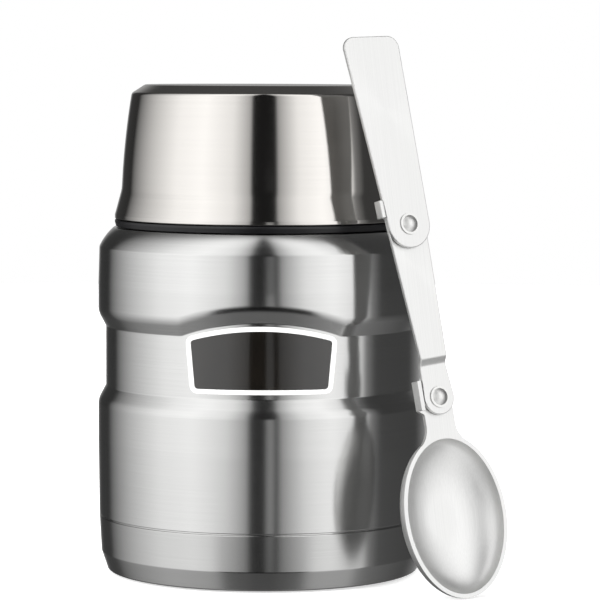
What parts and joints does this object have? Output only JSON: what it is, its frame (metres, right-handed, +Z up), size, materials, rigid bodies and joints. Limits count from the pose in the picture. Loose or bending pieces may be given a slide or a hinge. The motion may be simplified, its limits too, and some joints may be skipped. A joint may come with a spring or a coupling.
{
  "type": "insulated food jar",
  "caption": "Double-walled steel food jar with a stopper, a screw-on lid that serves as a bowl and a spoon that folds at two rivets.",
  "frame": {"origin": "centre of the foot pad's lower face, on the table under the jar's axis", "axes": "+Z up along the jar's axis, -Y out of the plate on the waist, +X to its right, on the spoon's side"},
  "size_m": [0.1175, 0.1085, 0.1573],
  "materials": {
    "brushed_shell": "satin, brushed round the jar",
    "satin_pan": "satin",
    "braze": "as melted",
    "sheet_steel": "plain sheet",
    "foot_rubber": "matte",
    "liner_steel": "satin",
    "copper_foil": "bright foil",
    "getter_metal": "pressed powder",
    "plate_dark": "satin",
    "frame_light": "satin",
    "gasket_silicone": "matte",
    "stopper_plastic": "fine grain",
    "insulation_foam": "closed foam, light as a felt",
    "trim_plastic": "satin",
    "polished_lid": "polished",
    "bowl_plastic": "smooth",
    "spoon_steel": "bright satin",
    "rivet_steel": "bright"
  },
  "bodies": {
    "jar": {"outer_shell": "brushed_shell", "base_pan": "satin_pan", "vacuum_seal": "braze", "base_disc": "sheet_steel", "foot_pad": "foot_rubber", "inner_liner": "liner_steel", "radiation_foil": "copper_foil", "getter_clip": "sheet_steel", "getter_tablet": "getter_metal", "waist_plate": "plate_dark", "waist_plate_frame": "frame_light"},
    "stopper_seal": {"stopper_gasket": "gasket_silicone"},
    "stopper": {"stopper_body": "stopper_plastic", "stopper_foam": "insulation_foam", "stopper_cover": "stopper_plastic"},
    "lid_ring": {"lid_trim_ring": "trim_plastic"},
    "lid": {"lid_shell": "polished_lid", "lid_bowl": "bowl_plastic"},
    "spoon_scoop": {"spoon_bowl": "spoon_steel", "spoon_rivet_lower": "rivet_steel", "spoon_spacer_lower": "rivet_steel", "spoon_washer_lower": "rivet_steel"},
    "spoon_middle": {"spoon_link": "spoon_steel", "spoon_rivet_upper": "rivet_steel", "spoon_spacer_upper": "rivet_steel", "spoon_washer_upper": "rivet_steel"},
    "spoon_grip": {"spoon_handle": "spoon_steel"}
  },
  "joints": [
    {"name": "stopper_rise", "type": "slide", "parent": "jar", "child": "stopper_seal", "axis": [0, 0, 1], "range_m": [0, 0.0601]},
    {"name": "stopper_turn", "type": "hinge", "parent": "stopper_seal", "child": "stopper", "pos_m": [0, 0, 0.1], "axis": [0, 0, 1], "range_deg": [0, 1800]},
    {"name": "lid_rise", "type": "slide", "parent": "stopper", "child": "lid_ring", "axis": [0, 0, 1], "range_m": [0, 0.0601]},
    {"name": "lid_turn", "type": "hinge", "parent": "lid_ring", "child": "lid", "pos_m": [0, 0, 0.11], "axis": [0, 0, 1], "range_deg": [0, 1800]},
    {"name": "spoon_lift", "type": "slide", "parent": "jar", "child": "spoon_scoop", "axis": [0, 0, 1], "range_m": [0, 0.12]},
    {"name": "link_fold", "type": "hinge", "parent": "spoon_scoop", "child": "spoon_middle", "pos_m": [0.049, -0.0459, 0.05538], "axis": [-0.4881, 0.8455, -0.2164], "range_deg": [0, 180]},
    {"name": "handle_fold", "type": "hinge", "parent": "spoon_middle", "child": "spoon_grip", "pos_m": [0.03902, -0.03952, 0.10283], "axis": [-0.4881, 0.8455, -0.2164], "range_deg": [0, 180]}
  ],
  "couplings": [
    {"joint": "stopper_rise", "follows": "stopper_turn", "m_per_rad": 0.0019099},
    {"joint": "lid_rise", "follows": "lid_turn", "m_per_rad": 0.0019099}
  ]
}
